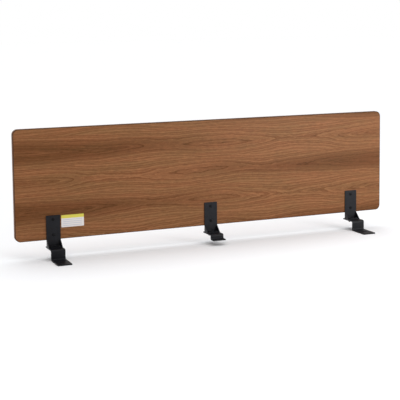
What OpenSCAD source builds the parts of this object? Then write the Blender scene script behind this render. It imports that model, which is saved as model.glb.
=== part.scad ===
// Desk privacy panel: a veneered board carried by three stepped steel brackets that screw to a desk.
// Origin: midway between the two outer foot slots, on the feet's top face, where the desk sits.
// +X runs along the board, -Y points from the board towards the desk, +Z is up. Millimetres.

/* [Panel] */
// Length of the board
panel_w = 1500; // [1400:10:1800]
// Height of the board
panel_h = 400; // [300:10:600]
// Thickness of the board, with both veneers
panel_t = 19; // [17:0.5:25]
// Radius of the board's corners
panel_corner_r = 20; // [8:1:40]
// Thickness of each veneer leaf
veneer_t = 0.6; // [0.4:0.1:1]
// Thickness of the band glued round the edge
band_t = 2; // [0.5:0.1:3]

/* [Brackets] */
// Distance from the middle bracket to each outer one
bracket_pitch = 612; // [500:1:650]
// Width of every bracket
bracket_w = 52; // [44:1:70]
// Thickness of the upper bracket's sheet
plate_t = 3; // [2:0.5:4]
// How far the upper plate climbs the board's face
plate_rise = 87.5; // [80:0.5:120]
// Gap below the board, down to the tread
tread_gap = 25; // [20:1:40]
// Depth of the upper bracket's flange and of its side gussets
flange_d = 25; // [22:1:40]
// Thickness of the stepped bracket's strip
step_t = 4; // [3:0.5:5]
// Tread depth, from the upper plate's face to the riser's face
tread_d = 58; // [50:1:90]
// How far the strip runs on behind the upper plate's face
tread_tail = 15; // [4:1:20]
// Drop from the tread's top to the underside of an outer foot
outer_drop = 39; // [25:1:60]
// Drop from the tread's top to the underside of the middle foot
centre_drop = 20; // [18:1:24]
// Length of an outer foot, from the riser's face
outer_foot_l = 86; // [70:1:120]
// Length of the middle foot, from the riser's face
centre_foot_l = 24; // [22:1:40]
// Distance from the riser's face to an outer foot's slot
slot_reach = 47; // [30:1:60]
// Length of an outer foot's slot, across the foot
slot_l = 22; // [16:1:30]
// Width of an outer foot's slot
slot_w = 7; // [5:0.5:9]
// Distance between the middle foot's two screw holes
foot_hole_pitch = 26; // [20:1:32]
// Diameter of the middle foot's screw holes
foot_hole_d = 5.5; // [4:0.5:6.5]

/* [Fixings] */
// Thread diameter of every screw and bolt
thread_d = 6; // [5:0.5:6]
// Distance from the upper plate's top edge to its first screw
screw_inset = 15; // [10:1:20]
// Distance between a bracket's two panel screws
screw_pitch = 55; // [40:1:60]
// Diameter of the screw and bolt heads
head_d = 11; // [10:0.5:12]
// Height of the screw and bolt heads
head_h = 3.2; // [2.5:0.1:4]
// Across-flats size of the hexagon sockets
socket_af = 4; // [3:0.5:5]
// Outer diameter of the threaded inserts
insert_d = 10; // [9:0.5:12]
// Length of the threaded inserts
insert_l = 13; // [10:0.5:15]
// Distance between the two bolts that join a bracket's halves
bolt_pitch = 26; // [22:1:30]
// Distance from the upper plate's face to those bolts
bolt_reach = 14; // [10:0.5:16]
// Across-flats size of their nuts
nut_af = 10; // [8:0.5:10]
// Thickness of their nuts
nut_h = 5; // [3:0.5:6]

/* [Label] */
// Length of the blank label
label_w = 84; // [60:1:100]
// Height of the blank label
label_h = 44; // [30:1:60]
// Thickness of the blank label
label_t = 0.15; // [0.1:0.05:0.3]
// Drop from the upper plate's top edge to the label's top
label_drop = 2.5; // [0:0.5:20]
// Gap between the left bracket and the label
label_gap = 4; // [1:1:20]

/* [Hidden] */
$fn = 72;

// Heights, measured from the outer feet's top face
tread_z = outer_drop - step_t;
panel_z = tread_z + tread_gap;
plate_top_z = panel_z + plate_rise;
screw_zs = [plate_top_z - screw_inset, plate_top_z - screw_inset - screw_pitch];

// Depths, measured from the outer feet's slots
riser_y = slot_reach;
plate_y = riser_y + tread_d;
panel_y = plate_y + plate_t;
bolt_y = plate_y - bolt_reach;

// Running clearance round threads and between an insert and its hole, per side
thread_gap = 0.05;
// Clearance of a drilled hole round a screw, per side
drill_gap = 0.3;
// How far a cutter runs past the face it cuts
cut = 1;

step_inner_r = 3;
plate_inner_r = 1;
foot_corner_r = 4;
plate_corner_r = 1.5;
label_corner_r = 2;
insert_hole_l = insert_l + 1;
screw_l = plate_t + insert_l - 1;
bolt_tail = 2;
bolt_l = plate_t + step_t + nut_h + bolt_tail;
socket_l = 0.6 * head_h;

// Each bracket: name, place along the board, drop and foot length
STATIONS = [
    ["left", -bracket_pitch, outer_drop, outer_foot_l],
    ["centre", 0, centre_drop, centre_foot_l],
    ["right", bracket_pitch, outer_drop, outer_foot_l]
];

// Rectangle with rounded corners, its lower left corner at the 2D origin
module rounded_rect(w, h, r) {
    translate([r, 0]) square([w - 2 * r, h]);
    translate([0, r]) square([w, h - 2 * r]);
    for (x = [r, w - r], y = [r, h - r]) translate([x, y]) circle(r = r);
}

// The board's outline, set in by the given distance
module board_outline(inset) {
    translate([-panel_w / 2 + inset, panel_z + inset])
        rounded_rect(panel_w - 2 * inset, panel_h - 2 * inset, panel_corner_r - inset);
}

// Stands a flat X-Z outline up, from one depth back to another
module slab(y_front, thickness) {
    translate([0, y_front + thickness, 0]) rotate([90, 0, 0]) linear_extrude(thickness) children();
}

// A quarter of a bend in the Y-Z plane: its centre, outer and inner radii, and the quarter it fills
module bend(centre, outer_r, inner_r, quarter) {
    translate(centre) intersection() {
        difference() {
            circle(r = outer_r);
            circle(r = inner_r);
        }
        translate([quarter[0] < 0 ? -outer_r : 0, quarter[1] < 0 ? -outer_r : 0]) square(outer_r);
    }
}

// Turns a Y-Z profile into a strip that lies along X, centred on the bracket
module across(width) {
    translate([-width / 2, 0, 0]) rotate([90, 0, 90]) linear_extrude(width) children();
}

// Two places on a line along X
module paired(pitch) {
    for (side = [-1, 1]) translate([side * pitch / 2, 0, 0]) children();
}

module at_panel_screws() {
    for (z = screw_zs) translate([0, plate_y, z]) rotate([-90, 0, 0]) children();
}

module at_joint_bolts() {
    translate([0, bolt_y, 0]) paired(bolt_pitch) children();
}

// A button head standing below z = 0, with a shank rising above it
module button_screw(length) {
    dome_r = (pow(head_d / 2, 2) + pow(head_h, 2)) / (2 * head_h);
    difference() {
        intersection() {
            translate([0, 0, dome_r - head_h]) sphere(r = dome_r);
            translate([0, 0, -head_h]) cylinder(r = head_d / 2, h = head_h);
        }
        translate([0, 0, -head_h - cut]) cylinder(r = socket_af / 2 / cos(30), h = socket_l + cut, $fn = 6);
    }
    cylinder(r = thread_d / 2 - thread_gap, h = length);
}

// Particleboard core, drilled for the threaded inserts
module panel_core() {
    color("#b08a5c") difference() {
        slab(panel_y + veneer_t, panel_t - 2 * veneer_t) board_outline(band_t);
        for (s = STATIONS) translate([s[1], 0, 0]) at_panel_screws()
            cylinder(r = insert_d / 2 + thread_gap, h = plate_t + insert_hole_l);
    }
}

// Walnut leaf on the bracket side, pierced where the inserts go in
module front_veneer() {
    color("#87593a") difference() {
        slab(panel_y, veneer_t) board_outline(band_t);
        for (s = STATIONS) translate([s[1], 0, 0]) at_panel_screws()
            cylinder(r = insert_d / 2 + thread_gap, h = plate_t + veneer_t + cut);
    }
}

// Walnut leaf on the far side
module rear_veneer() {
    color("#87593a") slab(panel_y + panel_t - veneer_t, veneer_t) board_outline(band_t);
}

// Walnut band round the whole edge
module edge_band() {
    color("#5f3f2b") slab(panel_y, panel_t) difference() {
        board_outline(0);
        board_outline(band_t);
    }
}

// Blank adhesive label beside the left bracket, just below its top
module blank_label() {
    color("#e9e9e4") translate([-bracket_pitch + bracket_w / 2 + label_gap, 0, plate_top_z - label_drop - label_h])
        slab(panel_y - label_t, label_t) rounded_rect(label_w, label_h, label_corner_r);
}

// Side profile of the upper bracket: the plate, its bend and the flange
module plate_profile() {
    outer_r = plate_inner_r + plate_t;
    translate([plate_y, tread_z + outer_r]) square([plate_t, plate_top_z - tread_z - outer_r]);
    bend([panel_y - outer_r, tread_z + outer_r], outer_r, plate_inner_r, [1, -1]);
    translate([plate_y - flange_d, tread_z]) square([flange_d + plate_t - outer_r, plate_t]);
}

// Upper bracket: folded plate and flange with a gusset down each side
module panel_bracket() {
    color("#33353a") difference() {
        union() {
            intersection() {
                across(bracket_w) plate_profile();
                translate([-bracket_w / 2, 0, 0]) slab(0, panel_y + cut) union() {
                    translate([0, tread_z]) square([bracket_w, plate_rise]);
                    translate([0, tread_z]) rounded_rect(bracket_w, plate_top_z - tread_z, plate_corner_r);
                }
            }
            paired(bracket_w - plate_t) across(plate_t) polygon([
                [plate_y, tread_z], [plate_y - flange_d, tread_z],
                [plate_y - flange_d, tread_z + plate_t], [plate_y, panel_z]
            ]);
        }
        at_panel_screws() translate([0, 0, -cut]) cylinder(r = thread_d / 2 + drill_gap, h = plate_t + 2 * cut);
        at_joint_bolts() translate([0, 0, tread_z - cut])
            cylinder(r = thread_d / 2 + drill_gap, h = plate_t + 2 * cut);
    }
}

// Side profile of a stepped strip: tread, riser and foot with a bend between each
module step_profile(drop, foot_l) {
    outer_r = step_inner_r + step_t;
    foot_z = tread_z - drop;
    tread_back = plate_y + tread_tail;
    tread_front = riser_y + outer_r;
    foot_back = riser_y + step_t - outer_r;
    translate([tread_front, tread_z - step_t]) square([tread_back - tread_front, step_t]);
    bend([tread_front, tread_z - outer_r], outer_r, step_inner_r, [-1, 1]);
    translate([riser_y, foot_z + outer_r]) square([step_t, drop - 2 * outer_r]);
    bend([foot_back, foot_z + outer_r], outer_r, step_inner_r, [1, -1]);
    translate([riser_y - foot_l, foot_z]) square([foot_l + foot_back - riser_y, step_t]);
}

// A stepped strip's plan, with its foot's two front corners rounded
module step_plan(foot_l) {
    translate([-bracket_w / 2, riser_y - foot_l]) union() {
        rounded_rect(bracket_w, foot_l, foot_corner_r);
        translate([0, foot_corner_r]) square([bracket_w, foot_l + tread_d + tread_tail]);
    }
}

// Slot across an outer foot for the screw into the desk
module foot_slot() {
    translate([0, 0, -step_t - cut]) linear_extrude(step_t + 2 * cut) union() {
        square([slot_l - slot_w, slot_w], center = true);
        for (side = [-1, 1]) translate([side * (slot_l - slot_w) / 2, 0]) circle(r = slot_w / 2);
    }
}

// Lower bracket: stepped strip that passes under the upper bracket and reaches to the desk
module desk_bracket(drop, foot_l, slotted) {
    flat_foot_l = foot_l - step_inner_r;
    color("#2d2f33") difference() {
        intersection() {
            across(bracket_w) step_profile(drop, foot_l);
            translate([0, 0, -step_t - cut]) linear_extrude(tread_z + step_t + 2 * cut) step_plan(foot_l);
        }
        at_joint_bolts() translate([0, 0, tread_z - step_t - cut])
            cylinder(r = thread_d / 2 + drill_gap, h = step_t + 2 * cut);
        if (slotted) foot_slot();
        else translate([0, riser_y - foot_l + flat_foot_l / 2, tread_z - drop - cut])
            paired(foot_hole_pitch) cylinder(r = foot_hole_d / 2, h = step_t + 2 * cut);
    }
}

// Two button-head screws through the upper plate into the board
module panel_screws() {
    color("#202124") at_panel_screws() button_screw(screw_l);
}

// Two threaded inserts let into the core from the bracket side
module threaded_inserts() {
    color("#b5a25a") at_panel_screws() translate([0, 0, plate_t]) difference() {
        cylinder(r = insert_d / 2, h = insert_l);
        translate([0, 0, -cut]) cylinder(r = thread_d / 2, h = insert_l + 2 * cut);
    }
}

// Two bolts down through the flange and the tread
module joint_bolts() {
    color("#202124") at_joint_bolts() translate([0, 0, tread_z + plate_t]) mirror([0, 0, 1])
        button_screw(bolt_l);
}

// Hexagon nuts below the tread
module joint_nuts() {
    color("#202124") at_joint_bolts() translate([0, 0, tread_z - step_t - nut_h]) difference() {
        cylinder(r = nut_af / 2 / cos(30), h = nut_h, $fn = 6);
        translate([0, 0, -cut]) cylinder(r = thread_d / 2, h = nut_h + 2 * cut);
    }
}

panel_core();
front_veneer();
rear_veneer();
edge_band();
blank_label();
for (s = STATIONS) translate([s[1], 0, 0]) {
    panel_bracket();
    desk_bracket(s[2], s[3], s[0] != "centre");
    panel_screws();
    threaded_inserts();
    joint_bolts();
    joint_nuts();
}
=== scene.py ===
import math

import bmesh
import bpy
from mathutils import Matrix, Vector


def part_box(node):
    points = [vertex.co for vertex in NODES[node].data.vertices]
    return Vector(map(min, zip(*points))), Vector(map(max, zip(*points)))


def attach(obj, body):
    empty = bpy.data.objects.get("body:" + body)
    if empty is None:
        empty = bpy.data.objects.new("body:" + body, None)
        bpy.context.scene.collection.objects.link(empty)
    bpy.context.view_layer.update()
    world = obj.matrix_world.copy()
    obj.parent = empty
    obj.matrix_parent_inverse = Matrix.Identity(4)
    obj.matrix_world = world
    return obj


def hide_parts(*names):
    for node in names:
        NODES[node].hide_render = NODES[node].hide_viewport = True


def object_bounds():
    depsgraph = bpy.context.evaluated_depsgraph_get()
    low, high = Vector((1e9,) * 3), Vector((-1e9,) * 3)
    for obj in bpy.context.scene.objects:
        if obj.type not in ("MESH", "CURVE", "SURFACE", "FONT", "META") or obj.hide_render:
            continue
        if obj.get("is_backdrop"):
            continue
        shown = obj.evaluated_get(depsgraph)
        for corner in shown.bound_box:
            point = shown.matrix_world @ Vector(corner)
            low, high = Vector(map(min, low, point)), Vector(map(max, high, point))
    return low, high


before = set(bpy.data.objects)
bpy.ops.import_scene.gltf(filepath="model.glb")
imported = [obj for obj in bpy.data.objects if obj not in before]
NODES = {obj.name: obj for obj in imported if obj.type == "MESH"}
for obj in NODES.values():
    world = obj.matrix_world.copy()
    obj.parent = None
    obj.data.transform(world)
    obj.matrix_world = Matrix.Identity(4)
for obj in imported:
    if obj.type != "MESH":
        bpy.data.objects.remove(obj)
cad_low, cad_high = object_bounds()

MM = 0.001

# The core: a pressed particleboard slab, sawn to size, rounded at its corners and drilled from the bracket
# side for the inserts. The leaves and the edge band hide it, so it keeps the frame's own shape and gets raw
# pressed chips.


def new_material(name):
    """A node material, its node tree and its Principled shader."""
    material = bpy.data.materials.new(name)
    material.use_nodes = True
    return material, material.node_tree, material.node_tree.nodes["Principled BSDF"]


def add(tree, kind, inputs=None, **settings):
    """Adds a shader node. An input is a plain value, or the output socket that feeds it."""
    node = tree.nodes.new("ShaderNode" + kind)
    for key, value in settings.items():
        setattr(node, key, value)
    for key, value in (inputs or {}).items():
        if isinstance(value, bpy.types.NodeSocket):
            tree.links.new(value, node.inputs[key])
        else:
            node.inputs[key].default_value = value
    return node


def ramp(tree, factor, stops):
    """A colour ramp through (place, colour) stops, returned as its colour socket."""
    node = add(tree, "ValToRGB", {0: factor})
    while len(node.color_ramp.elements) < len(stops):
        node.color_ramp.elements.new(0.5)
    for element, (place, colour) in zip(node.color_ramp.elements, stops):
        element.position = place
        element.color = colour
    return node.outputs[0]


def places(tree):
    """The surface's place in the board's frame, in metres."""
    return add(tree, "TexCoord").outputs["Object"]


def stretched(tree, scale):
    """The place, scaled along each axis."""
    return add(tree, "Mapping", {"Vector": places(tree), "Scale": scale}).outputs[0]


def paint(tree, shader, colour):
    """Feeds a colour to the shader."""
    tree.links.new(colour, shader.inputs["Base Color"])


def emboss(tree, shader, height, strength, depth):
    """Gives the surface a slight relief that follows a height."""
    bump = add(tree, "Bump", {"Height": height, "Strength": strength, "Distance": depth})
    tree.links.new(bump.outputs[0], shader.inputs["Normal"])


def set_only(piece, material):
    """Gives a piece one material all over."""
    piece.data.materials.clear()
    piece.data.materials.append(material)


chips, tree, shader = new_material("pressed_chips")
flakes = add(tree, "TexVoronoi", {"Vector": stretched(tree, (160, 260, 420)), "Scale": 1})
tone = ramp(tree, flakes.outputs["Color"], [(0.1, (0.30, 0.19, 0.09, 1)), (0.9, (0.62, 0.46, 0.27, 1))])
paint(tree, shader, tone)
emboss(tree, shader, flakes.outputs["Distance"], strength=0.4, depth=0.3 * MM)
shader.inputs["Roughness"].default_value = 0.9
set_only(NODES["panel_core"], chips)

# The walnut faces: each side is five flat-cut leaves, laid one above the other and turned end for end in
# turn, then pressed, sanded and lacquered satin. A leaf cuts the log's rings near its heart, so they show
# as long pointed arches.

leaf_height = 107 * MM
top_trim = 28 * MM
ring_gap = 6 * MM
board_low, board_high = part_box("panel_core")
# How deep the heart of the log lies below the leaf, in mm, at places along it in metres from its middle
heart_depths = [
    (-0.80, 4), (-0.48, 18), (-0.31, 27), (-0.19, 31), (0.0, 23),
    (0.195, 32), (0.345, 41), (0.60, 23), (0.80, 8),
]
deepest_heart = 60 * MM
# How sharp the arches' tips are: 2 gives round ones, and 1 straight-sided ones
tip_roundness = 1.35
# How far the rings stray from a true cone: across the leaf, in depth, in fine jags, and from leaf to leaf
stray_across = 30 * MM
stray_in_depth = 20 * MM
jag_height = 7 * MM
leaf_drift = 2.5 * MM
leaf_seed_step = 3.7
# How much each part of the figure adds to the tone
light_weight = 0.26
band_weight = 0.36
streak_weight = 0.95
# How many bands and streaks there are to a ring, and how late in its year the dark wood comes
bands_per_ring = 0.45
streaks_per_ring = 1.15
late_wood_sharpness = 5
# How dark the open pores are, and how far the fibres stand up beside them
pore_darkness = 0.55
fibre_relief = 0.3
# Most of a noise's values lie between these
noise_span = (0.3, 0.7)


def calc(tree, operation, *terms):
    """One step of arithmetic, returned as its output socket."""
    return add(tree, "Math", dict(enumerate(terms)), operation=operation).outputs[0]


def blend_colours(tree, factor, first, second, how="MIX"):
    """Mixes two colours, returned as an output socket."""
    mix = add(tree, "Mix", {0: factor, 6: first, 7: second}, data_type="RGBA", blend_type=how)
    return mix.outputs[2]


def remap(tree, value, source=(0, 1), target=(0, 1), **settings):
    """Moves a value from one range to another and holds it at the ends, returned as its output socket."""
    ends = {0: value, 1: source[0], 2: source[1], 3: target[0], 4: target[1]}
    return add(tree, "MapRange", ends, **settings).outputs[0]


def noise(tree, at, detail, roughness=0.5):
    """Cloudy noise at a place, returned as its node."""
    return add(tree, "TexNoise", {"Vector": at, "Scale": 1, "Detail": detail, "Roughness": roughness})


def line_noise(tree, at, detail, roughness):
    """Noise along a single value, returned as its output socket."""
    inputs = {"W": at, "Scale": 1, "Detail": detail, "Roughness": roughness}
    return add(tree, "TexNoise", inputs, noise_dimensions="1D").outputs[0]


def scaled(tree, at, scale):
    """A place that was worked out before, scaled along each axis."""
    return add(tree, "Mapping", {"Vector": at, "Scale": scale}).outputs[0]


def depth_curve(tree, along):
    """The heart's depth under the leaf, for a place along the leaf in metres."""
    first, last = heart_depths[0][0], heart_depths[-1][0]
    share = remap(tree, along, (first, last))
    curve = add(tree, "FloatCurve", {"Value": share})
    points = curve.mapping.curves[0].points
    while len(points) < len(heart_depths):
        points.new(0.5, 0.5)
    for point, (place, depth) in zip(points, heart_depths):
        point.location = ((place - first) / (last - first), depth * MM / deepest_heart)
    curve.mapping.update()
    return calc(tree, "MULTIPLY", curve.outputs[0], deepest_heart)


def stray(tree, value, reach):
    """A noise's value turned into a shift either way, over a reach in all."""
    return calc(tree, "MULTIPLY", calc(tree, "SUBTRACT", value, 0.5), reach)


def walnut_leaves(name, shift, seed):
    """Lacquered flat-cut walnut, with the log's heart moved along the board by a shift."""
    material, tree, shader = new_material(name)
    split = add(tree, "SeparateXYZ", {0: places(tree)})
    along, height = split.outputs[0], split.outputs[2]
    below_top = calc(tree, "SUBTRACT", board_high.z - top_trim, height)
    leaf = calc(tree, "FLOOR", calc(tree, "DIVIDE", below_top, leaf_height))
    # 1 on the leaves that lie the first way round, and -1 on the turned ones
    turn = calc(tree, "SUBTRACT", 1, calc(tree, "MULTIPLY", calc(tree, "PINGPONG", leaf, 1), 2))
    own = calc(tree, "MULTIPLY", calc(tree, "ADD", along, shift), turn)
    middle = calc(tree, "MULTIPLY", calc(tree, "ADD", leaf, 0.5), leaf_height)
    across = calc(tree, "SUBTRACT", below_top, middle)

    # Slow wander of the rings, then a finer shake near the arches' tips
    leaf_seed = calc(tree, "ADD", calc(tree, "MULTIPLY", leaf, leaf_seed_step), seed)
    at_leaf = add(tree, "CombineXYZ", {0: own, 1: leaf_seed, 2: height}).outputs[0]
    wander = noise(tree, scaled(tree, at_leaf, (3.2, 1, 9)), 1.5, 0.45)
    wander_split = add(tree, "SeparateColor", {0: wander.outputs["Color"]})
    shake = noise(tree, scaled(tree, at_leaf, (26, 1, 80)), 3, 0.6).outputs[0]
    rise = stray(tree, wander_split.outputs[0], stray_across)
    across = calc(tree, "ABSOLUTE", calc(tree, "ADD", across, rise))
    sink = stray(tree, wander_split.outputs[1], stray_in_depth)
    jag = stray(tree, shake, jag_height)
    drift = calc(tree, "MULTIPLY", leaf, leaf_drift)
    depth = calc(tree, "ADD", depth_curve(tree, own), drift)
    depth = calc(tree, "ADD", depth, calc(tree, "ADD", sink, jag))
    depth = calc(tree, "MAXIMUM", depth, MM)
    across_part = calc(tree, "POWER", across, tip_roundness)
    depth_part = calc(tree, "POWER", depth, tip_roundness)
    radius = calc(tree, "POWER", calc(tree, "ADD", across_part, depth_part), 1 / tip_roundness)
    rings = calc(tree, "DIVIDE", radius, ring_gap)

    # Colour follows the rings: slow bands of heartwood, each year's dark late wood, and fine streaks
    bands = calc(tree, "ADD", calc(tree, "MULTIPLY", rings, bands_per_ring), seed)
    band = line_noise(tree, bands, 2, 0.55)
    streak = line_noise(tree, calc(tree, "MULTIPLY", rings, streaks_per_ring), 4, 0.78)
    year = calc(tree, "FRACT", rings)
    late = calc(tree, "POWER", year, late_wood_sharpness)
    # The wood lightens away from the heart and towards the leaf's light end
    off_heart = remap(tree, radius, (28 * MM, 64 * MM), interpolation_type="SMOOTHSTEP")
    light_end = remap(tree, own, (-0.42, 0.15), (0, 0.85), interpolation_type="SMOOTHSTEP")
    light = calc(tree, "MAXIMUM", off_heart, light_end)
    tone = calc(tree, "MULTIPLY", light, light_weight)
    for part, weight in ((band, band_weight), (streak, streak_weight)):
        tone = calc(tree, "ADD", tone, calc(tree, "MULTIPLY", part, weight))
    # Late wood is darkest at the arches' tips, and comes and goes along them
    late_depth = remap(tree, across, (0, 30 * MM), (0.36, 0.12))
    late_depth = calc(tree, "MULTIPLY", late_depth, remap(tree, shake, (0.35, 0.65), (0.35, 1.35)))
    tone = calc(tree, "SUBTRACT", tone, calc(tree, "MULTIPLY", late, late_depth))
    colour = ramp(tree, tone, [
        (0.35, (0.096, 0.033, 0.006, 1)), (0.62, (0.153, 0.056, 0.017, 1)),
        (0.82, (0.212, 0.084, 0.031, 1)), (1.0, (0.290, 0.128, 0.052, 1)),
    ])
    hue = noise(tree, scaled(tree, at_leaf, (5, 1, 40)), 2).outputs[0]
    tint = ramp(tree, hue, [(0.35, (0.94, 0.99, 0.95, 1)), (0.65, (1.06, 1.01, 1.0, 1))])
    colour = blend_colours(tree, 1.0, colour, tint, "MULTIPLY")

    # Soft ribbons a few millimetres wide, then fibres and open pores, all drawn out along the grain
    ribbon = noise(tree, stretched(tree, (55, 1, 170)), 4, 0.7).outputs[0]
    fibre = noise(tree, stretched(tree, (26, 1, 900)), 3, 0.6).outputs[0]
    for lines, shades in ((ribbon, (0.84, 1.15)), (fibre, (0.83, 1.14))):
        colour = blend_colours(tree, 1.0, colour, remap(tree, lines, noise_span, shades), "MULTIPLY")
    pore = noise(tree, stretched(tree, (150, 1, 2600)), 1).outputs[0]
    pores = remap(tree, pore, (0.66, 0.76))
    pores = calc(tree, "MULTIPLY", pores, remap(tree, year, (0.2, 0.9), (0.5, 1)))
    pore_share = calc(tree, "MULTIPLY", pores, pore_darkness)
    colour = blend_colours(tree, pore_share, colour, (0.035, 0.014, 0.007, 1))
    paint(tree, shader, colour)

    tree.links.new(remap(tree, fibre, noise_span, (0.36, 0.5)), shader.inputs["Roughness"])
    shader.inputs["Specular IOR Level"].default_value = 0.12
    relief = calc(tree, "SUBTRACT", calc(tree, "MULTIPLY", fibre, fibre_relief), pores)
    emboss(tree, shader, relief, strength=0.25, depth=0.08 * MM)
    return material


set_only(NODES["front_veneer"], walnut_leaves("walnut_front_leaves", 0.0, 4.0))
set_only(NODES["rear_veneer"], walnut_leaves("walnut_rear_leaves", 0.21, 9.0))

# The edge band: 2 mm walnut lipping glued round the whole edge and trimmed flush, with its two arrises
# rounded over. The rounding catches less light than the faces, and painted shade on the lipping's colour
# darkens it further, drawing the thin dark outline round the board.

corner_radius = 20 * MM
arris = 1.5 * MM
# How far from an arris's outer edge the painted shade reaches its full strength, as a share of the arris
arris_shade_full_at = 0.7
# How much of the wood's own colour the full painted shade hides
arris_shade_strength = 0.85
# How many streaks there are to a metre, along the band and across it
streaks_along = 9
streaks_across = 620
weld_distance = 0.001 * MM
# How much of an edge's length or a face's normal must lie along an axis, for it to count as straight
straight = 0.999
band_low, band_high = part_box("edge_band")
band_thickness = board_low.x - band_low.x


def clear_bench():
    """Leaves edit mode and deselects everything, before the next piece."""
    if bpy.context.mode != "OBJECT":
        bpy.ops.object.mode_set(mode="OBJECT")
    bpy.ops.object.select_all(action="DESELECT")


def add_block(name, low, high):
    """A cube stretched between two corners, left in edit mode with all of it selected."""
    clear_bench()
    low, high = Vector(low), Vector(high)
    bpy.ops.mesh.primitive_cube_add(size=1, location=(low + high) / 2)
    block = bpy.context.object
    block.name = name
    block.data.name = name
    block.scale = high - low
    bpy.ops.object.transform_apply(location=True, rotation=True, scale=True)
    bpy.ops.object.mode_set(mode="EDIT")
    return block


def choose(kind, test):
    """In edit mode, selects only the vertices, edges or faces that pass the test."""
    bpy.ops.mesh.select_mode(type=kind)
    bpy.ops.mesh.select_all(action="DESELECT")
    shape = bmesh.from_edit_mesh(bpy.context.object.data)
    shape.normal_update()
    for item in {"VERT": shape.verts, "EDGE": shape.edges, "FACE": shape.faces}[kind][:]:
        item.select_set(bool(test(item)))
    bmesh.update_edit_mesh(bpy.context.object.data)


def runs_along(edge, axis):
    """True if an edge lies along an axis, given as 0, 1 or 2."""
    step = edge.verts[1].co - edge.verts[0].co
    return abs(step[axis]) > straight * step.length


def turns_more(edge, degrees):
    """True if the surface turns by more than an angle at an edge."""
    return edge.is_manifold and edge.calc_face_angle() > math.radians(degrees)


def round_over(width, segments):
    """In edit mode, rounds over the chosen edges, or chamfers them with a single segment."""
    bpy.ops.mesh.bevel(affect="EDGES", offset=width, segments=segments)


def finish_shape(piece, softening=0.0, angle=35):
    """Leaves edit mode, rounds over the sharp edges by a width, and shades the roundings smooth."""
    bpy.ops.mesh.select_all(action="SELECT")
    bpy.ops.mesh.remove_doubles(threshold=weld_distance)
    if softening:
        bpy.ops.mesh.dissolve_limited(angle_limit=math.radians(1))
    bpy.ops.mesh.normals_make_consistent(inside=False)
    bpy.ops.object.mode_set(mode="OBJECT")
    if softening:
        modifier = piece.modifiers.new("soft_edges", "BEVEL")
        modifier.width = softening
        modifier.segments = 2
        modifier.limit_method = "ANGLE"
        modifier.angle_limit = math.radians(angle)
        bpy.ops.object.modifier_apply(modifier="soft_edges")
    bpy.ops.object.shade_smooth_by_angle(angle=math.radians(angle))
    modifier = piece.modifiers.new("flat_faces_first", "WEIGHTED_NORMAL")
    modifier.keep_sharp = True
    bpy.ops.object.modifier_apply(modifier="flat_faces_first")


def fit_out(piece, material, slot, *nodes):
    """Gives a piece its finish, and puts it in its CAD nodes' place."""
    set_only(piece, material)
    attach(piece, "root")
    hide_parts(*nodes)


band = add_block("walnut_edge_band", band_low, band_high)
choose("EDGE", lambda edge: runs_along(edge, 1))
round_over(corner_radius, 20)
choose("EDGE", lambda edge: turns_more(edge, 60))
round_over(arris, 5)
choose("FACE", lambda face: abs(face.normal.y) > straight)
bpy.ops.mesh.inset(thickness=band_thickness - arris)
bpy.ops.mesh.bridge_edge_loops()
finish_shape(band, angle=40)

lipping, tree, shader = new_material("walnut_lipping")
split = add(tree, "SeparateXYZ", {0: places(tree)})
# The streaks run round the band, since one of the two terms stands still on each of its straight sides
round_band = calc(tree, "MULTIPLY", calc(tree, "ADD", split.outputs[0], split.outputs[2]), streaks_along)
over_band = calc(tree, "MULTIPLY", split.outputs[1], streaks_across)
run = add(tree, "CombineXYZ", {0: round_band, 1: over_band})
grain = noise(tree, run.outputs[0], 4, 0.6).outputs[0]
tone = ramp(tree, grain, [
    (0.25, (0.085, 0.034, 0.016, 1)), (0.5, (0.190, 0.082, 0.038, 1)), (0.8, (0.300, 0.145, 0.072, 1)),
])
# The two rounded arrises are darkened almost to black: painted shade, for the dark outline round the board
middle_y = (band_low.y + band_high.y) / 2
off_middle = calc(tree, "ABSOLUTE", calc(tree, "SUBTRACT", split.outputs[1], middle_y))
half_depth = (band_high.y - band_low.y) / 2
painted_arris_shade = remap(tree, off_middle, (half_depth - arris, half_depth - arris_shade_full_at * arris))
arris_shade_colour = blend_colours(tree, arris_shade_strength, tone, (0.012, 0.006, 0.004, 1))
tone = blend_colours(tree, painted_arris_shade, tone, arris_shade_colour)
paint(tree, shader, tone)
shader.inputs["Roughness"].default_value = 0.5
shader.inputs["Specular IOR Level"].default_value = 0.1
emboss(tree, shader, grain, strength=0.2, depth=0.1 * MM)
fit_out(band, lipping, "walnut_edge", "edge_band")

# The threaded inserts: turned brass bushes, pressed into the core behind each upper bracket, two to a
# bracket. They sit flush with the face under the plates and keep their own frame shape.

STATIONS = ["left", "centre", "right"]
brass, tree, shader = new_material("turned_brass")
turning = noise(tree, stretched(tree, (300, 4000, 300)), 3).outputs[0]
paint(tree, shader, ramp(tree, turning, [(0.3, (0.45, 0.30, 0.10, 1)), (0.7, (0.68, 0.50, 0.20, 1))]))
shader.inputs["Metallic"].default_value = 1
tree.links.new(remap(tree, turning, target=(0.2, 0.4)), shader.inputs["Roughness"])
for station in STATIONS:
    set_only(NODES[station + "_threaded_inserts"], brass)

# The label: a blank self-adhesive sheet beside the left bracket, white gloss paper with a printed yellow
# head band and a few faint ruled lines below it. Its corners are die-cut round.

label_corner_radius = 2 * MM
label_edge_radius = 0.04 * MM
head_band_height = 12 * MM
first_rule_down = 17 * MM
rule_gap = 7 * MM
half_rule = 0.9 * MM
# Where the rules start and end, counted down from the middle of the first
rules_start = -1 * MM
rules_end = 24 * MM
side_margin = 7 * MM
label_low, label_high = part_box("blank_label")
label = add_block("ruled_label", label_low, label_high)
choose("EDGE", lambda edge: runs_along(edge, 1))
round_over(label_corner_radius, 6)
finish_shape(label, softening=label_edge_radius)

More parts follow.
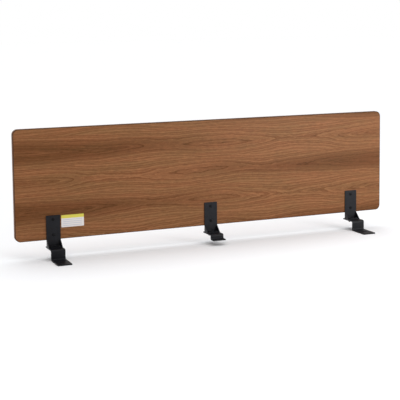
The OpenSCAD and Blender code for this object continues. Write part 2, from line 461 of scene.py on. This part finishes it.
label_print, tree, shader = new_material("printed_label_paper")
split = add(tree, "SeparateXYZ", {0: places(tree)})
down = calc(tree, "SUBTRACT", label_high.z, split.outputs[2])
from_left = calc(tree, "SUBTRACT", split.outputs[0], label_low.x)
from_right = calc(tree, "SUBTRACT", label_high.x, split.outputs[0])
from_side = calc(tree, "MINIMUM", from_left, from_right)
fleck = noise(tree, stretched(tree, (900, 900, 900)), 3).outputs[0]
paper_tone = ramp(tree, fleck, [(0.3, (0.70, 0.66, 0.64, 1)), (0.7, (0.76, 0.72, 0.70, 1))])
# Four faint rules that stop short of the label's sides
below_first = calc(tree, "SUBTRACT", down, first_rule_down)
off_rule = calc(tree, "ABSOLUTE", calc(tree, "PINGPONG", below_first, rule_gap / 2))
rule = calc(tree, "LESS_THAN", off_rule, half_rule)
below_start = calc(tree, "GREATER_THAN", below_first, rules_start)
above_end = calc(tree, "LESS_THAN", below_first, rules_end)
inside_rules = calc(tree, "MULTIPLY", below_start, above_end)
inside_rules = calc(tree, "MULTIPLY", inside_rules, calc(tree, "GREATER_THAN", from_side, side_margin))
ruled = blend_colours(tree, calc(tree, "MULTIPLY", rule, inside_rules), paper_tone, (0.50, 0.51, 0.58, 1))
head_band = calc(tree, "LESS_THAN", down, head_band_height)
paint(tree, shader, blend_colours(tree, head_band, ruled, (0.66, 0.57, 0.06, 1)))
shader.inputs["Roughness"].default_value = 0.35
shader.inputs["Coat Weight"].default_value = 0.15
emboss(tree, shader, fleck, strength=0.1, depth=0.02 * MM)
fit_out(label, label_print, "label_paper", "blank_label")

# The upper brackets: 3 mm sheet steel, folded to an L and stiffened by a gusset welded down each side,
# drilled, then powder-coated black. One stands on the tread at each station and clamps against the board's
# face.

plate_thickness = 3 * MM
plate_outer_radius = 4 * MM
plate_corner_radius = 1.5 * MM
bend_steps = 8
hole_radius = 3.3 * MM
powder_softening = 0.4 * MM
board_underside = band_low.z
weld_depth = 0.5 * MM
gusset_toe = 1.5 * MM
# How far a drill or a cutter runs past the metal, how near counts as touching, and a cut's own tolerance
overshoot = 1 * MM
touch = 0.01 * MM
cut_tolerance = 0.0001 * MM
# How much of a face's normal must lie along an axis, for the face to count as facing that way
facing = 0.9


def middle_of(item):
    """The middle of an edge or a face."""
    return sum((v.co for v in item.verts), Vector()) / len(item.verts)


def lies_at(item, axis, place):
    """True if an edge's or a face's middle is at a place along an axis, given as 0, 1 or 2."""
    return abs(middle_of(item)[axis] - place) < touch


def bend_face(centre, axis):
    """In edit mode, folds the chosen face through a quarter turn round a line along X."""
    bpy.ops.mesh.spin(steps=bend_steps, angle=math.radians(90), center=centre, axis=axis)


def saw_off(spot, away):
    """In edit mode, cuts the whole shape flat through a spot, drops what lies beyond, and caps the cut."""
    bpy.ops.mesh.select_all(action="SELECT")
    bpy.ops.mesh.bisect(
        plane_co=spot, plane_no=away, use_fill=True, clear_outer=True, threshold=cut_tolerance)


def pull(move):
    """In edit mode, extrudes what is chosen."""
    bpy.ops.mesh.extrude_region_move(TRANSFORM_OT_translate={"value": move})


def add_rod(name, radius, foot, top, sides=48):
    """A cylinder between two points, left in edit mode."""
    clear_bench()
    foot, top = Vector(foot), Vector(top)
    bpy.ops.mesh.primitive_cylinder_add(
        vertices=sides, radius=radius, depth=(top - foot).length, location=(foot + top) / 2,
        rotation=(top - foot).to_track_quat("Z", "X").to_euler())
    rod = bpy.context.object
    rod.name = name
    rod.data.name = name
    bpy.ops.object.transform_apply(location=True, rotation=True, scale=True)
    bpy.ops.object.mode_set(mode="EDIT")
    return rod


def combine(piece, how, *others):
    """Welds shapes to a piece (UNION), cuts them out (DIFFERENCE), or keeps what is shared (INTERSECT)."""
    for other in others:
        clear_bench()
        bpy.context.view_layer.objects.active = piece
        piece.select_set(True)
        modifier = piece.modifiers.new("combine", "BOOLEAN")
        modifier.operation = how
        modifier.solver = "EXACT"
        modifier.object = other
        bpy.ops.object.modifier_apply(modifier="combine")
        spent = other.data
        bpy.data.objects.remove(other)
        bpy.data.meshes.remove(spent)
    bpy.ops.object.mode_set(mode="EDIT")


def copy_of(piece, name, move, turn=Matrix()):
    """A copy with its own mesh, turned about the origin and then moved."""
    twin = piece.copy()
    twin.data = piece.data.copy()
    twin.name = name
    twin.data.name = name
    bpy.context.scene.collection.objects.link(twin)
    twin.data.transform(Matrix.Translation(move) @ turn)
    return twin


low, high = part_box("centre_panel_bracket")
bolt_low, bolt_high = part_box("centre_joint_bolts")
screw_low, screw_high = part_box("centre_panel_screws")
head_radius = (bolt_high.y - bolt_low.y) / 2
bolt_y = (bolt_low.y + bolt_high.y) / 2
bolt_xs = [bolt_low.x + head_radius, bolt_high.x - head_radius]
screw_zs = [screw_high.z - head_radius, screw_low.z + head_radius]
plate_front = high.y - plate_thickness

upper = add_block("upper_bracket_pattern", (low.x, plate_front, low.z + plate_outer_radius), high)
choose("FACE", lambda face: face.normal.z < -facing)
bend_face((0, high.y - plate_outer_radius, low.z + plate_outer_radius), (1, 0, 0))
pull((0, low.y - (high.y - plate_outer_radius), 0))
choose("EDGE", lambda edge: runs_along(edge, 1) and lies_at(edge, 2, high.z))
round_over(plate_corner_radius, 5)
flange_top = low.z + plate_thickness
gussets = []
for side in (-1, 1):
    outer_x = side * high.x
    inner_x = outer_x - side * plate_thickness
    gusset = add_block("gusset", (min(inner_x, outer_x), low.y, flange_top - weld_depth),
                       (max(inner_x, outer_x), plate_front + weld_depth, board_underside))
    # The slope falls from the board's underside at the plate to the flange's top, just short of its front
    slope_normal = (0, flange_top - board_underside, plate_front - low.y - gusset_toe)
    saw_off((0, plate_front, board_underside), slope_normal)
    gussets.append(gusset)
combine(upper, "UNION", *gussets)
drills = []
for z in screw_zs:
    drills.append(add_rod("drill", hole_radius, (0, plate_front - overshoot, z), (0, high.y + overshoot, z)))
for x in bolt_xs:
    drills.append(add_rod("drill", hole_radius, (x, bolt_y, low.z - overshoot),
                          (x, bolt_y, flange_top + overshoot)))
combine(upper, "DIFFERENCE", *drills)
finish_shape(upper, softening=powder_softening)

powder, tree, shader = new_material("satin_black_powder")
cloud = noise(tree, stretched(tree, (60, 60, 60)), 3).outputs[0]
tone = ramp(tree, cloud, [(0.3, (0.0042, 0.0043, 0.0065, 1)), (0.7, (0.0075, 0.0077, 0.0108, 1))])
paint(tree, shader, tone)
peel = noise(tree, stretched(tree, (1400, 1400, 1400)), 2).outputs[0]
tree.links.new(remap(tree, peel, noise_span, (0.32, 0.46)), shader.inputs["Roughness"])
shader.inputs["Specular IOR Level"].default_value = 0.2
emboss(tree, shader, peel, strength=0.35, depth=0.12 * MM)
for station in STATIONS:
    node = station + "_panel_bracket"
    node_low, node_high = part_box(node)
    twin = copy_of(upper, station + "_gusseted_plate", (node_low + node_high) / 2 - (low + high) / 2)
    fit_out(twin, powder, "black_powder_coat", node)
bpy.data.objects.remove(upper)

# The panel screws: M6 button-head socket screws in black oxide, two to a bracket. They pass through the
# plate and into the inserts, one above the other on the plate's centre line.

thread_radius = 2.95 * MM
thread_root = 2.45 * MM
thread_pitch = 1.0 * MM
thread_steps = 24
spare_turns = 4
# One turn's outline, in shares of the thread's depth and pitch: out to the crest, along it, back in, and
# the root
thread_outline = [(1, 0.40), (0, 0.15), (-1, 0.40), (0, 0.05)]
# A hexagon's corners, as a multiple of half its width across the flats
hexagon_corner = 1 / math.cos(math.radians(30))
socket_radius = 2 * MM * hexagon_corner
socket_floor = 1.3 * MM
head_rim = 0.3 * MM


def add_thread(name, length):
    """A threaded rod that hangs down from the origin, with square-cut ends, left in edit mode."""
    clear_bench()
    bpy.ops.mesh.primitive_plane_add(size=MM)
    rod = bpy.context.object
    rod.name = name
    rod.data.name = name
    bpy.ops.object.mode_set(mode="EDIT")
    bpy.ops.mesh.select_mode(type="VERT")
    bpy.ops.mesh.select_all(action="SELECT")
    bpy.ops.mesh.merge(type="CENTER")
    bpy.ops.transform.translate(value=(thread_root, 0, thread_pitch))
    thread_depth = thread_radius - thread_root
    for out, up in thread_outline:
        pull((out * thread_depth, 0, up * thread_pitch))
    bpy.ops.mesh.select_all(action="SELECT")
    turns = int(length / thread_pitch) + spare_turns
    bpy.ops.mesh.screw(steps=thread_steps, turns=turns, center=(0, 0, 0), axis=(0, 0, 1))
    bpy.ops.mesh.select_all(action="SELECT")
    bpy.ops.mesh.remove_doubles(threshold=weld_distance)
    saw_off((0, 0, socket_floor / 2), (0, 0, 1))
    saw_off((0, 0, -length), (0, 0, -1))
    bpy.ops.mesh.select_all(action="SELECT")
    bpy.ops.mesh.normals_make_consistent(inside=False)
    return rod


def add_button_screw(name, length, head_height):
    """A screw on the Z axis, its head's underside at the origin, its shank hanging down."""
    screw = add_rod(name, head_radius, (0, 0, 0), (0, 0, head_height))
    choose("EDGE", lambda edge: turns_more(edge, 60) and lies_at(edge, 2, head_height))
    round_over(head_height - head_rim, 7)
    key_end = head_height + overshoot
    key = add_rod("hexagon_key", socket_radius, (0, 0, socket_floor), (0, 0, key_end), sides=6)
    combine(screw, "DIFFERENCE", key)
    thread = add_thread("thread", length)
    combine(screw, "UNION", thread)
    finish_shape(screw)
    return screw


oxide, tree, shader = new_material("oiled_black_oxide")
cloud = noise(tree, stretched(tree, (500, 500, 500)), 4).outputs[0]
paint(tree, shader, ramp(tree, cloud, [(0.3, (0.002, 0.002, 0.003, 1)), (0.75, (0.006, 0.006, 0.007, 1))]))
tree.links.new(remap(tree, cloud, target=(0.35, 0.55)), shader.inputs["Roughness"])
shader.inputs["Specular IOR Level"].default_value = 0.15
emboss(tree, shader, cloud, strength=0.2, depth=0.05 * MM)

head_height = bolt_high.z - low.z - plate_thickness
screw = add_button_screw("screw_pattern", screw_high.y - plate_front, head_height)
towards_board = Matrix.Rotation(math.radians(90), 4, "X")
for station in STATIONS:
    node = station + "_panel_screws"
    node_low, node_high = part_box(node)
    for place, z in zip(("upper", "lower"), screw_zs):
        spot = Vector(((node_low.x + node_high.x) / 2, plate_front, z))
        twin = copy_of(screw, station + "_" + place + "_panel_screw", spot, towards_board)
        fit_out(twin, oxide, "black_oxide_steel", node)
bpy.data.objects.remove(screw)

# The lower brackets: 4 mm strip steel, folded twice into a step and powder-coated like the plates. The
# outer two drop to long slotted feet; the middle one has a shorter drop and a short foot with two screw
# holes.

strip_thickness = 4 * MM
strip_outer_radius = 7 * MM
foot_corner_radius = 4 * MM
tail_corner_radius = 1.5 * MM
outer_foot_length = 86 * MM
slot_half_length = 11 * MM
slot_radius = 3.5 * MM
# Just under the slot's radius, so that the two roundings at each end don't quite meet
slot_rounding = 0.999 * slot_radius
foot_hole_radius = 2.75 * MM
foot_hole_x = 13 * MM


def fold_strip(name, node, riser_front, cutters):
    """A stepped strip folded to fit its CAD node, with its cutters taken out of it."""
    low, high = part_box(node)
    middle_x = (low.x + high.x) / 2
    tread_front = riser_front + strip_outer_radius
    foot_back = riser_front + strip_thickness - strip_outer_radius
    strip = add_block(name, (low.x, tread_front, high.z - strip_thickness), high)
    choose("EDGE", lambda edge: runs_along(edge, 2) and lies_at(edge, 1, high.y))
    round_over(tail_corner_radius, 4)
    choose("FACE", lambda face: face.normal.y < -facing)
    bend_face((middle_x, tread_front, high.z - strip_outer_radius), (-1, 0, 0))
    pull((0, 0, low.z + strip_outer_radius - (high.z - strip_outer_radius)))
    bend_face((middle_x, foot_back, low.z + strip_outer_radius), (1, 0, 0))
    pull((0, low.y - foot_back, 0))
    choose("EDGE", lambda edge: runs_along(edge, 2) and lies_at(edge, 1, low.y))
    round_over(foot_corner_radius, 6)
    for x in bolt_xs:
        cutters.append(add_rod("drill", hole_radius,
                               (middle_x + x, bolt_y, high.z - strip_thickness - overshoot),
                               (middle_x + x, bolt_y, high.z + overshoot)))
    combine(strip, "DIFFERENCE", *cutters)
    finish_shape(strip, softening=powder_softening)
    return strip


left_low, left_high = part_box("left_desk_bracket")
riser_front = left_low.y + outer_foot_length
left_x = (left_low.x + left_high.x) / 2
slot_cutter = add_block("slot_cutter", (left_x - slot_half_length, -slot_radius, left_low.z - overshoot),
                        (left_x + slot_half_length, slot_radius, left_low.z + strip_thickness + overshoot))
choose("EDGE", lambda edge: runs_along(edge, 2))
round_over(slot_rounding, 10)
left_strip = fold_strip("left_slotted_step", "left_desk_bracket", riser_front, [slot_cutter])
right_strip = copy_of(left_strip, "right_slotted_step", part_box("right_desk_bracket")[0] - left_low)
fit_out(left_strip, powder, "black_powder_coat", "left_desk_bracket")
fit_out(right_strip, powder, "black_powder_coat", "right_desk_bracket")

centre_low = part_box("centre_desk_bracket")[0]
foot_hole_y = (centre_low.y + riser_front - (strip_outer_radius - strip_thickness)) / 2
foot_drills = []
for x in (-foot_hole_x, foot_hole_x):
    foot_drills.append(add_rod("drill", foot_hole_radius, (x, foot_hole_y, centre_low.z - overshoot),
                               (x, foot_hole_y, centre_low.z + strip_thickness + overshoot)))
centre_strip = fold_strip("centre_short_step", "centre_desk_bracket", riser_front, foot_drills)
fit_out(centre_strip, powder, "black_powder_coat", "centre_desk_bracket")

# The joint bolts and nuts: the same button-head screws, down through the flange and the tread, two to a
# bracket, each with a chamfered hexagon nut drawn up under the tread.

nut_low, nut_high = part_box("centre_joint_nuts")
nut_height = nut_high.z - nut_low.z
nut_radius = (nut_high.y - nut_low.y) / 2 * hexagon_corner
nut_chamfer = 0.45 * MM
nut_rim = 0.9 * MM
nut_countersink = 0.35 * MM
nut_clearance = 0.05 * MM
blank_allowance = 0.02 * MM
near_rim = 0.1 * MM
bolt = add_button_screw("bolt_pattern", bolt_high.z - head_height - bolt_low.z, head_height)
nut = add_rod("nut_pattern", nut_radius, (0, 0, 0), (0, 0, nut_height), sides=6)
blank = add_rod("turned_blank", nut_radius + blank_allowance, (0, 0, 0), (0, 0, nut_height))
for end, lift in ((0, nut_chamfer), (nut_height, -nut_chamfer)):
    choose("FACE", lambda face: abs(face.normal.z) > facing and lies_at(face, 2, end))
    bpy.ops.mesh.inset(thickness=nut_rim)
    choose("VERT", lambda v: v.co.xy.length > nut_radius - near_rim and abs(v.co.z - end) < touch)
    bpy.ops.transform.translate(value=(0, 0, lift))
combine(nut, "INTERSECT", blank)
drill = add_rod("drill", thread_radius + nut_clearance, (0, 0, -overshoot), (0, 0, nut_height + overshoot))
combine(nut, "DIFFERENCE", drill)
choose("EDGE", lambda edge: turns_more(edge, 60) and middle_of(edge).xy.length < thread_radius + near_rim)
round_over(nut_countersink, 1)
finish_shape(nut, angle=25)
for station in STATIONS:
    node_low, node_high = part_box(station + "_joint_bolts")
    for place, x in zip(("left", "right"), bolt_xs):
        spot = Vector(((node_low.x + node_high.x) / 2 + x, bolt_y, bolt_high.z - head_height))
        twin = copy_of(bolt, station + "_joint_bolt_" + place, spot)
        fit_out(twin, oxide, "black_oxide_steel", station + "_joint_bolts")
        spot.z = nut_low.z
        twin = copy_of(nut, station + "_joint_nut_" + place, spot, Matrix.Rotation(math.radians(90), 4, "Z"))
        fit_out(twin, oxide, "black_oxide_steel", station + "_joint_nuts")
bpy.data.objects.remove(bolt)
bpy.data.objects.remove(nut)

# The studio: a wide white paper floor under the outer feet, white air all round, a broad bank of panels
# overhead and one soft box low on the right of the bracket side.

floor_size = 60
shadow_fill = 0.42
clear_bench()
bpy.ops.mesh.primitive_plane_add(size=floor_size, location=(0, 0, cad_low.z))
floor = bpy.context.object
floor.name = "studio_floor"
bpy.ops.object.transform_apply(location=True, rotation=True, scale=True)
paper, tree, shader = new_material("studio_paper")
shader.inputs["Base Color"].default_value = (0.935, 0.945, 0.965, 1)
shader.inputs["Roughness"].default_value = 0.9
shader.inputs["Specular IOR Level"].default_value = 0
set_only(floor, paper)
floor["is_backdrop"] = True

# The air looks white to the camera, but lights the scene with less than half of that
world = bpy.data.worlds.new("studio_air")
bpy.context.scene.world = world
world.use_nodes = True
air = world.node_tree
seen = add(air, "LightPath").outputs["Is Camera Ray"]
fill = remap(air, seen, target=(shadow_fill, 1.0))
air.links.new(fill, air.nodes["Background"].inputs["Strength"])
air.nodes["Background"].inputs["Color"].default_value = (1, 1, 1, 1)


def add_lamp(name, kind, place, aim, power, **settings):
    """A lamp that shines from a place towards a point."""
    lamp = bpy.data.lights.new(name, kind)
    lamp.energy = power
    for key, value in settings.items():
        setattr(lamp, key, value)
    stand = bpy.data.objects.new(name, lamp)
    bpy.context.scene.collection.objects.link(stand)
    stand.location = place
    stand.rotation_euler = (Vector(aim) - Vector(place)).to_track_quat("-Z", "Y").to_euler()
    stand.visible_camera = False


add_lamp("overhead_panels", "SUN", (0.4, 0.55, 3), (0, 0, 0), 2.1, angle=math.radians(80))
add_lamp("right_soft_box", "AREA", (1.6, -2.1, 0.7), (0.45, 0.1, 0.25), 31, size=1.0)

camera = bpy.data.cameras.new("camera")
camera.lens = 96.4
camera.shift_y = -0.2
camera.dof.use_dof = False
camera_stand = bpy.data.objects.new("camera", camera)
bpy.context.scene.collection.objects.link(camera_stand)
camera_stand.location = (-1.602, -3.561, 0.846)
heading = Matrix.Rotation(math.radians(-23.07), 3, "Z")
tilt = Matrix.Rotation(math.radians(90 - 5.51), 3, "X")
lean = Matrix.Rotation(math.radians(-0.58), 3, "Z")
camera_stand.rotation_euler = (heading @ tilt @ lean).to_euler()
bpy.context.scene.camera = camera_stand
bpy.context.scene.view_settings.view_transform = "Standard"

low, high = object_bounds()
